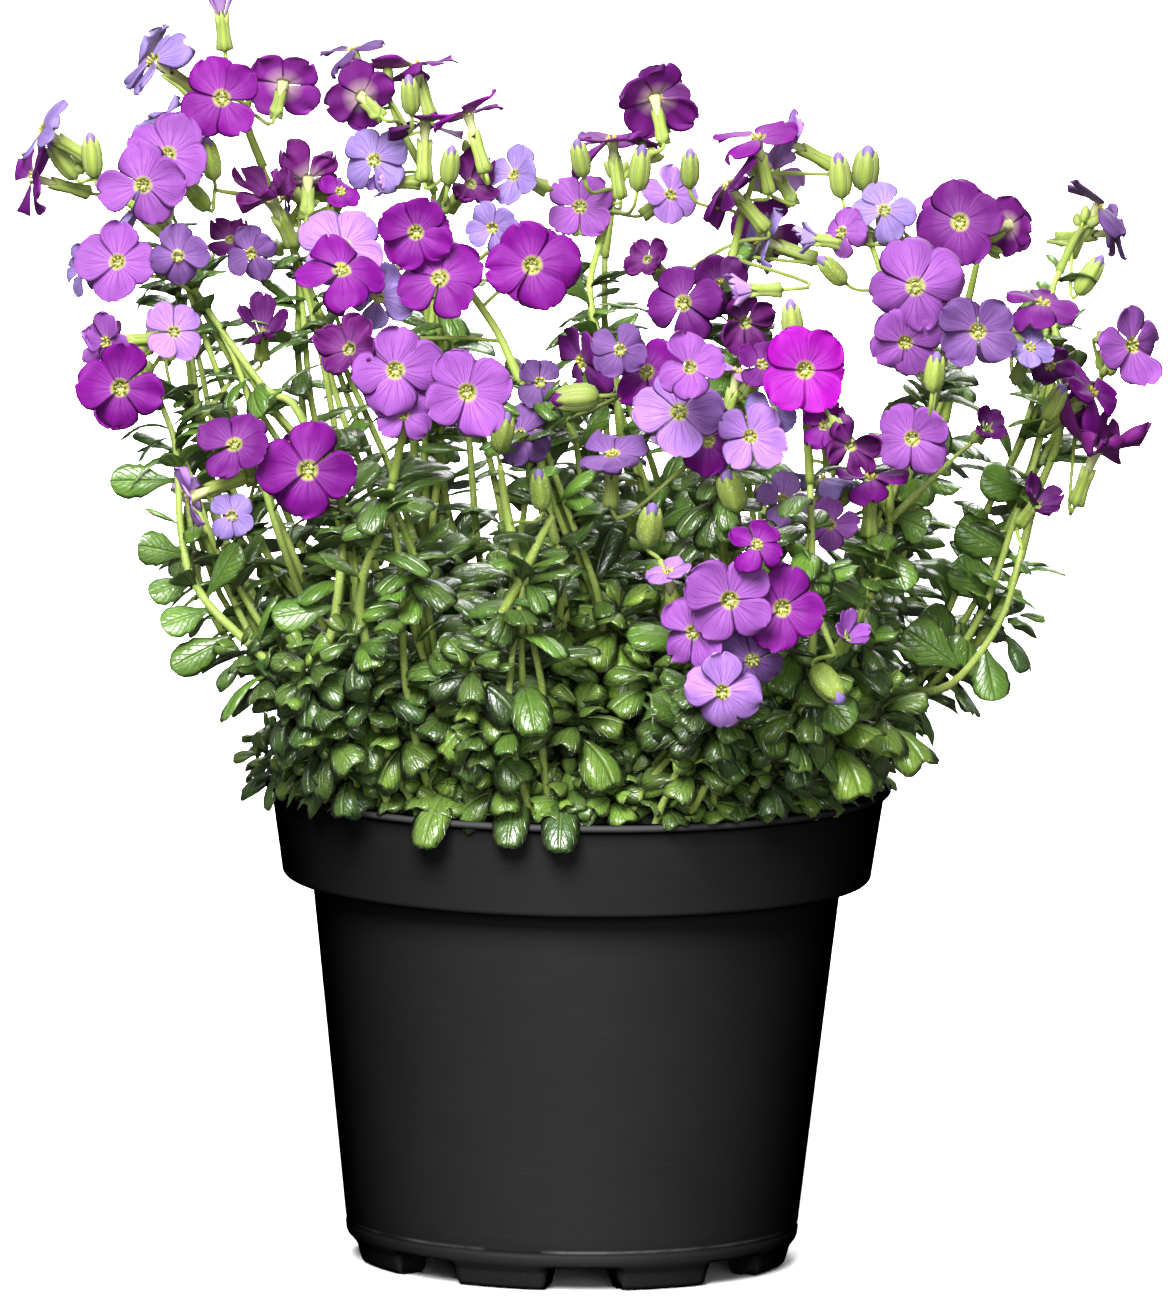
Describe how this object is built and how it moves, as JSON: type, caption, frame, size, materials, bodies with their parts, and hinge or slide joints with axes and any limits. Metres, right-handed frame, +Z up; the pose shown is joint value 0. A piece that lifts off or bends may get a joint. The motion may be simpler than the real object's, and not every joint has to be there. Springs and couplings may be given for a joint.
{
  "type": "potted aubrieta",
  "caption": "Flowering aubrieta in a round tapered nursery pot: a low leafy cushion with slender leafy stems that carry violet and magenta blooms.",
  "frame": {"origin": "on the surface that the pot stands on, under the pot's axis, which is the middle of the object's box to about a millimetre", "axes": "+Z up along the pot's axis, -Y towards the viewer of the picture, +X to the viewer's right"},
  "size_m": [0.2201, 0.1911, 0.2444],
  "materials": {
    "pot_plastic": "matte",
    "peat": "matte",
    "leaf": "satin",
    "stem": "satin",
    "petal": "satin"
  },
  "bodies": {
    "root": {"pot": "pot_plastic", "soil": "peat", "leaf_cushion": "leaf", "stem_left_diagonal": "stem", "stem_top_left": "stem", "stem_top_middle": "stem", "stem_arching": "stem", "stem_left_leafy": "stem", "stem_left_nodding": "stem", "stem_middle_left": "stem", "stem_middle": "stem", "stem_forked": "stem", "stem_heart": "stem", "stem_top_right": "stem", "stem_right_inner": "stem", "stem_right_outer": "stem", "stem_right_short": "stem", "stem_bright": "stem", "stem_front": "stem", "stem_cut_front": "stem", "stem_back_left": "stem", "stem_back_low": "stem", "stem_back_middle": "stem", "stem_back_top": "stem", "stem_back_heart": "stem", "stem_back_low_right": "stem", "stem_back_right": "stem", "raceme_far_left": "petal", "raceme_upper_left": "petal", "raceme_top_left": "petal", "raceme_left_upper": "petal", "raceme_left_wilting": "petal", "raceme_top": "petal", "raceme_top_right_of_middle": "petal", "raceme_arch": "petal", "raceme_left_edge": "petal", "raceme_left_low": "petal", "raceme_middle_left": "petal", "raceme_middle": "petal", "raceme_heart": "petal", "raceme_top_of_middle": "petal", "raceme_top_right": "petal", "raceme_right_top": "petal", "raceme_right_head": "petal", "raceme_far_right_top": "petal", "raceme_far_right": "petal", "raceme_right_low": "petal", "raceme_bright": "petal", "raceme_front": "petal", "raceme_back_upper_left": "petal", "raceme_back_left_edge": "petal", "raceme_back_left_low": "petal", "raceme_back_middle_left": "petal", "raceme_back_arch": "petal", "raceme_back_top": "petal", "raceme_back_heart": "petal", "raceme_back_front": "petal", "raceme_back_bright": "petal", "raceme_back_right_top": "petal", "raceme_back_right_head": "petal"}
  },
  "joints": []
}
